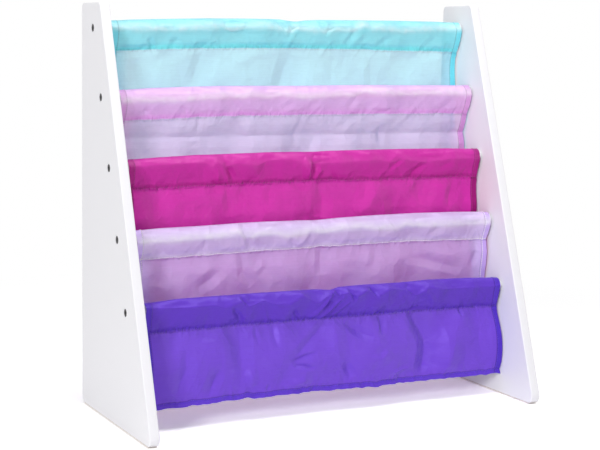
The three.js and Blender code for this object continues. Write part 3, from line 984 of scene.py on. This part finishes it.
lavender_dye = {
    "cloth": "#e0c6ff", "sleeve": "#f2e2ff", "hem": "#d4b6fd", "shine": "#e8d6ff",
    "thread": "#fbf7ff", "doubled": 0.6, "gather_shade": 0.0, "highlight_strength": 0.5, "see_through": 0.34,
    "gloss": 1.0,
}
make_band("lavender", lavender_shape, lavender_dye, thread_radius=0.8 * mm)

# Magenta band
# It lies in front of the second pocket, and its foot is sewn to the back of the lavender band.
# Its dye is the strongest of the three in the middle.
magenta_shape = {
    "top": [
        (-303, 11), (-289, 12), (-244, 14.1), (-187, 15.8), (-128, 16.1), (-69, 16.4),
        (-20, 15.5), (12, 14.6), (34, 15.5), (101, 15), (169, 14.3), (239, 12.6), (303, 9.6),
    ],
    "shoulder": [
        (-303, 0), (-288, 0.4), (-245, 2.6), (-195, 3.7), (-176, 4), (-164, -3.5), (-156, 3.3),
        (-140, -3.9), (-123, 1.2), (-92, -3.6), (-71, 3.3), (-43, 4.3), (-29, 2.8), (-9, -5.5),
        (6, -3.5), (28, -4.3), (61, -3.4), (117, -2.4), (146, -7.3), (157, -0.7), (176, -5.3),
        (197, -8), (231, -6.2), (255, -4), (303, -5),
    ],
    "shoulder_bend": 4.5,
    "shoulder_ridge": 0.5,
    "right_edge": [(-20, 301.8), (34, 301.8), (50, 302.5), (250, 302.5)],
    "reach": [(-303, 10.5), (-200, 12), (0, 12.5), (200, 12), (303, 9.5)],
    "seam": [
        (-303, -33), (-240, -32.5), (-130, -31.2), (-31, -31.3), (4, -30), (57, -32.4),
        (124, -33), (184, -33.6), (240, -34.4), (303, -36),
    ],
    "folds": [
        (0.26, 0.9, 0.05), (0.36, -0.5, 0.06), (0.52, 0.9, 0.04), (0.74, 0.8, 0.06),
        (0.92, -0.5, 0.05),
    ],
    "tail": [(0, 0), (36, 0), (44, -2.5), (64, -5), (78, -8), (90, -8), (125, 0), (160, 0)],
    "pucker": (6, 1.5),
    "depth": 1.5,
    "creases": [
        ([(-144, 2), (-134, -12), (-124, -27)], -4.5, 8),
        ([(-158, -2), (-155, -14), (-152, -26)], 2.8, 8),
        ([(-12, 4), (-4, -10), (-2, -28)], 3.4, 10),
        ([(12, 14), (4, -2), (3, -14), (6, -27)], -5, 5, 14),
        ([(10, -28), (14, -20), (20, -12)], 2.8, 8),
        ([(160, 0), (150, -9), (138, -17)], -3, 10, 5),
        ([(202, -12), (188, -23), (174, -33)], -3, 10, 5),
        ([(251, -9), (240, -13), (228, -16)], -1.4, 8),
        ([(2, -32), (6, -58), (4, -84)], 2.5, 40, 20),
        ([(14, -34), (27, -60), (24, -88)], -4.5, 22, 36),
        ([(126, -32), (112, -58), (86, -88)], 4.5, 44, 24),
        ([(262, -34), (252, -60), (244, -84)], -3, 12, 20),
        ([(-135, -32), (-134, -52), (-128, -80)], -2.4, 10, 14),
        ([(-100, -50), (-104, -66), (-96, -84)], 2, 14),
        ([(-220, -40), (-224, -56), (-220, -76)], 1.8, 26),
        ([(-180, -60), (-172, -76), (-168, -90)], -1.8, 22),
        ([(190, -44), (196, -66), (200, -88)], -1.6, 24),
        ([(-60, -34), (-66, -48), (-64, -64)], -1.4, 12),
    ],
}
magenta_dye = {
    "cloth": "#d930ae", "sleeve": "#b82090", "hem": "#9c1474", "shine": "#f490d4",
    "thread": "#cc44aa", "doubled": 0.3, "gather_shade": 0.14, "highlight_strength": 0.02, "see_through": 0.05,
    "gloss": 0.7,
}
make_band("magenta", magenta_shape, magenta_dye)

# Pink band
# It lies in front of the first pocket, and its foot is sewn to the back of the magenta band. A
# fold from packing runs straight across it under the seam.
pink_shape = {
    "top": [
        (-303, 10.5), (-289, 11), (-249, 13.4), (-192, 14.9), (-133, 15.4), (-53, 14.4),
        (0, 13.6), (47, 13.7), (111, 13.2), (176, 11.8), (243, 10.8), (303, 9.6),
    ],
    "shoulder": [
        (-303, -7), (-254, -7), (-216, -8), (-178, -6.1), (-142, -4), (-129, -1.6), (-99, -4),
        (-87, -0.5), (-59, -4.6), (-34, -0.5), (-8, -5), (14, -6.8), (41, -4.5), (73, -2.2),
        (90, -5.3), (109, 3), (126, -1.3), (159, -2.7), (192, -4.2), (236, -3), (303, -5),
    ],
    "seam": [
        (-303, -34.4), (-250, -34.1), (-211, -33.5), (-173, -32), (-133, -31.5), (-73, -31.8),
        (0, -32), (48, -32.4), (112, -32.8), (177, -34), (244, -34.8), (303, -36),
    ],
    "folds": [
        (0.12, -0.4, 0.08), (0.25, 0.5, 0.05), (0.5, 0.8, 0.05), (0.64, -0.5, 0.06),
        (0.76, 0.7, 0.05),
    ],
    "tail": [
        (0, 0), (36, 0), (46, 1.5), (56, 4.5), (63.5, 8), (70, 4.5), (80, 1), (95, -1),
        (125, 0), (160, 0),
    ],
    "tail_tilt": 0.011,
    "tail_bend": 2,
    "pucker": (7, 1.6),
    "depth": 1.1,
    "creases": [
        ([(105, 4), (94, -10), (82, -24)], -2.8, 10),
        ([(-256, -18), (-250, -24), (-246, -31)], -2, 8),
        ([(-200, -16), (-190, -24), (-186, -30)], -2, 8),
        ([(-116, -10), (-104, -20), (-96, -29)], -1.7, 10),
        ([(-90, -8), (-76, -20), (-64, -28)], 1.7, 10),
        ([(-40, -30), (-28, -20), (-14, -12)], -2, 8),
        ([(6, -28), (18, -18), (30, -8)], -1.7, 10),
        ([(136, -28), (150, -30), (158, -24)], -2, 6),
        ([(240, -30), (256, -24), (270, -12)], -2, 10),
        ([(-165, -32), (-166, -46), (-166, -58)], -2, 8),
        ([(4, -34), (4, -46), (0, -60), (2, -76)], -3, 8, 10),
        ([(146, -52), (150, -64), (150, -84)], -3.4, 9, 12),
        ([(36, -58), (30, -72), (20, -90)], -2.4, 16, 14),
        ([(100, -34), (84, -44), (66, -54)], -2, 10),
        ([(-186, -66), (-178, -70), (-164, -67)], 1.6, 6),
        ([(-90, -38), (-82, -48), (-86, -58)], 1.6, 14),
        ([(-258, -66), (-256, -78), (-250, -90)], -2, 20),
    ],
}
pink_dye = {
    "cloth": "#f4d8fa", "sleeve": "#ffb8ff", "hem": "#e09ee0", "shine": "#f2d4ff",
    "thread": "#f1bdf4", "doubled": 0.5, "gather_shade": 0.06, "highlight_strength": 0.42, "see_through": 0.34,
    "gloss": 1.0,
}
make_band("pink", pink_shape, pink_dye)

# Aqua band
# The topmost band has no pocket behind it: it hangs from the top dowel as the back wall of the
# first pocket, and its foot is sewn to the back of the pink band.
aqua_shape = {
    "top": [
        (-303, 10.8), (-290, 11.3), (-263, 13.2), (-223, 14.3), (-164, 15.4), (-102, 15.7),
        (-61, 15.5), (-19, 14.5), (9, 10.8), (26, 13), (51, 14), (122, 13.5), (189, 13.2),
        (258, 11.7), (303, 9.6),
    ],
    "shoulder": [
        (-303, -1), (-285, -1), (-257, -2.6), (-199, -3.5), (-169, -2.5), (-118, 0.3),
        (-102, -3.4), (-81, 0.4), (-46, 0.4), (-25, -2.4), (-3, -6.1), (6, -1), (35, -5.2),
        (56, -6.1), (78, -3.2), (107, -5.1), (124, 4.2), (138, -3.2), (160, -2.2), (194, -6),
        (228, -4.1), (263, -2.1), (303, -2),
    ],
    "seam": [
        (-303, -34.5), (-263, -33.1), (-234, -31.8), (-194, -31), (-82, -30.5), (0, -31),
        (78, -32.1), (122, -33.1), (167, -34.8), (236, -36.3), (303, -38),
    ],
    "folds": [
        (0.25, 0.5, 0.05), (0.5, 0.9, 0.06), (0.62, -0.4, 0.05), (0.73, 0.5, 0.05),
        (0.9, -0.3, 0.08),
    ],
    "tail": [(0, 0), (38, 0), (48, 1.5), (60, 1), (90, -2), (130, 0), (160, 0)],
    "pucker": (7, 1.5),
    "depth": 1.35,
    "creases": [
        ([(-31, 12), (-20, 4), (-10, -3)], -3.1, 8),
        ([(5, 6), (-3, -6), (-7, -18)], -4, 8),
        ([(1, 0), (-4, -12), (-6, -27)], 2.8, 10),
        ([(45, 14), (52, 4), (58, -6)], -2.3, 8),
        ([(71, 6), (64, -2), (56, -10)], -2.8, 6),
        ([(109, 0), (104, -14), (96, -27)], -3.1, 8),
        ([(124, -4), (114, -14), (106, -24)], 1.7, 10),
        ([(174, -14), (162, -22), (150, -29)], -2.3, 10),
        ([(258, -12), (248, -22), (236, -30)], -2, 10),
        ([(-236, -14), (-232, -22), (-226, -30)], -2.8, 6),
        ([(-189, -16), (-192, -22), (-198, -29)], -1.7, 8),
        ([(-110, 4), (-104, -2), (-98, -8)], -2, 8),
        ([(6, -30), (1, -54), (-4, -70), (-9, -92)], -5, 20, 36),
        ([(-142, -30), (-148, -50), (-156, -74), (-162, -92)], -4, 16, 30),
        ([(146, -32), (144, -58), (148, -92)], -3, 13, 28),
        ([(78, -45), (76, -66), (74, -92)], -2.6, 18, 26),
        ([(-250, -36), (-254, -60), (-250, -88)], -2, 16, 24),
        ([(-60, -36), (-70, -48), (-96, -50)], 1.6, 12),
        ([(230, -38), (240, -54), (236, -76)], 1.6, 20),
    ],
}
aqua_dye = {
    "cloth": "#b2eefc", "sleeve": "#86fcff", "hem": "#74ebfa", "shine": "#c8f6ff",
    "thread": "#9aeaf6", "doubled": 0.5, "gather_shade": 0.06, "highlight_strength": 0.42, "see_through": 0.34,
    "gloss": 1.0,
}
make_band("aqua", aqua_shape, aqua_dye)

# Bolts
# Ten M6 countersunk bolts of nickel-plated steel with a hexagon socket. They go through the
# panels from outside into the dowels' inserts, and their heads end just under the paint.
# Nickel plating: a dark, warm grey mirror, a little dulled by handling
nickel, add = new_material("nickel plating on steel")
place = add("TexCoord", output="Object")
dull = add("TexNoise", Vector=place, Scale=1 / (1.5 * mm), Detail=3.0)
grit = add("TexNoise", Vector=place, Scale=1 / (0.2 * mm), Detail=2.0)
handled = add("MapRange", Value=dull, To_Min=0.22, To_Max=0.42)
pitted = add("Bump", Strength=0.15, Distance=0.02 * mm, Height=grit)
metal = add(
    "BsdfPrincipled", Base_Color=linear("#2e2c30"), Metallic=1.0, Roughness=handled, Normal=pitted
)
add("OutputMaterial", Surface=metal)

socket_across = 4 * mm
socket_depth = 2.2 * mm


def countersunk_bolt(name, side, index):
    """A bolt with its head at the outer face of the left panel, at -1, or the right one, at 1."""
    rim = 0.25 * mm
    tip = 0.8 * mm
    socket_radius = socket_across / math.sqrt(3)
    bm = bmesh.new()
    section = [
        (socket_radius + 0.9 * mm, 0), (head_radius - rim, 0), (head_radius, -rim),
        (head_radius, -head_rim), (bolt_radius, -head_depth), (bolt_radius, -bolt_length + tip),
        (bolt_radius - tip, -bolt_length), (0, -bolt_length),
    ]
    spun(bm, section, 36)

    def open_edges():
        """Edges in the face of the head with a free side."""
        return [e for e in bm.edges if len(e.link_faces) < 2 and abs(e.verts[0].co.x) < 0.01 * mm]

    ring = open_edges()
    outline = bmesh.ops.create_circle(
        bm, cap_ends=False, radius=socket_radius, segments=6,
        matrix=Matrix.Rotation(math.pi / 2, 4, "Y"),
    )["verts"]
    sides = list({e for v in outline for e in v.link_edges})
    bmesh.ops.subdivide_edges(bm, edges=sides, cuts=5)
    inner = [e for e in open_edges() if e not in ring]
    bmesh.ops.bridge_loops(bm, edges=ring + inner)
    walls = bmesh.ops.extrude_edge_only(bm, edges=inner)["geom"]
    low = [v for v in walls if isinstance(v, bmesh.types.BMVert)]
    bmesh.ops.translate(bm, verts=low, vec=(-socket_depth, 0, 0))
    floor_edges = [
        e for e in walls
        if isinstance(e, bmesh.types.BMEdge) and e.verts[0] in low and e.verts[1] in low
    ]
    bmesh.ops.edgeloop_fill(bm, edges=floor_edges)
    bmesh.ops.recalc_face_normals(bm, faces=bm.faces)
    if side < 0:
        turn = Matrix.Rotation(math.pi, 3, "Z")
        bmesh.ops.rotate(bm, verts=bm.verts, cent=(0, 0, 0), matrix=turn)
    # Each socket stopped at its own angle when the bolt was tight
    turn = Matrix.Rotation(0.4 + 1.1 * index, 3, "X")
    bmesh.ops.rotate(bm, verts=bm.verts, cent=(0, 0, 0), matrix=turn)
    outer = side * (overall_width / 2 - head_recess)
    bmesh.ops.translate(bm, verts=bm.verts, vec=(outer, *dowel_axis(index)))
    return finished(bm, name, nickel, 30)


for name, side in (("left", -1), ("right", 1)):
    for index in range(len(bands)):
        bolt = countersunk_bolt(f"countersunk_{name}_{index + 1}", side, index)
        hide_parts(f"bolt_{name}_{index + 1}")
        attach(bolt, "root")

# Studio
# A plain white floor that runs on into a white surround, one softbox far off at the left front
# and a weak one overhead. The camera looks slightly down from the left, and takes in the object
# right of its axis.


def seen_rays(add):
    """1 for rays from the camera, and for those that a mirror or clear thing sends on."""
    rays = add("LightPath").node
    seen = rays.outputs["Is Camera Ray"]
    for also in ("Is Glossy Ray", "Is Transmission Ray"):
        seen = add("Math", {"operation": "MAXIMUM"}, _0=seen, _1=rays.outputs[also])
    return seen


# White floor paper: matt, and as bright as the surround from 1.3 m on, so that no edge shows
floor_paper, add = new_material("white studio floor")
seen = seen_rays(add)
# Painted shade tint: the second layer has a little less green, which shows in the object's shadow
# as a lilac standing in for light thrown by the purple cloth
matt = add(
    "AddShader", _0=add("BsdfDiffuse", Color=(0.95, 0.95, 0.95, 1)),
    _1=add("BsdfDiffuse", Color=(0.55, 0.53, 0.55, 1)),
)
far = add("Emission", Color=(1, 1, 1, 1), Strength=1.0)
place = add("TexCoord", output="Object")
away = add("VectorMath", {"operation": "LENGTH"}, _0=place)
distant = add(
    "MapRange", {"interpolation_type": "SMOOTHSTEP"}, Value=away, From_Min=0.5, From_Max=1.3
)
even = add("MixShader", _0=distant, _1=matt, _2=far)
bounce = add("BsdfDiffuse", Color=(0.92, 0.92, 0.92, 1))
add("OutputMaterial", Surface=add("MixShader", _0=seen, _1=bounce, _2=even))
bm = bmesh.new()
bmesh.ops.create_grid(bm, x_segments=1, y_segments=1, size=15)
bmesh.ops.translate(bm, verts=bm.verts, vec=(0, 0, -0.2 * mm))
finished(bm, "studio_floor", floor_paper)

surround = bpy.data.worlds.new("white surround")
surround.use_nodes = True
bpy.context.scene.world = surround
add = node_adder(surround.node_tree)
seen = seen_rays(add)
fill = add("Background", Color=(1, 1, 1, 1), Strength=0.39)
white = add("Background", Color=(1, 1, 1, 1), Strength=1.0)
add("OutputWorld", Surface=add("MixShader", _0=seen, _1=fill, _2=white))


def soft_light(name, place, target, size, power):
    """A square softbox that faces a point."""
    lamp = bpy.data.lights.new(name, "AREA")
    lamp.shape, lamp.size, lamp.energy = "SQUARE", size, power
    box = bpy.data.objects.new(name, lamp)
    bpy.context.collection.objects.link(box)
    box.location = place
    box.rotation_euler = (Vector(target) - Vector(place)).to_track_quat("-Z", "Y").to_euler()


soft_light("overhead softbox", (0.3, -0.42, 2.2), (0, 0, 0.35), 1.2, 21)
soft_light("front softbox", (-4.8, -4.2, 2.5), (0, 0, 0.3), 1.5, 212)

# The focal length is 1484.9 pixels in a picture 600 pixels wide
lens = bpy.data.cameras.new("photo camera")
lens.sensor_width = 36
lens.lens = lens.sensor_width * 1484.9 / 600
lens.shift_x = 0.15
camera = bpy.data.objects.new("photo camera", lens)
bpy.context.collection.objects.link(camera)
camera.location = (-1.0255, -1.9939, 0.5637)
camera.rotation_euler = (math.radians(82.69), 0, math.radians(-23.27))
bpy.context.scene.camera = camera
bpy.context.scene.view_settings.view_transform = "Standard"
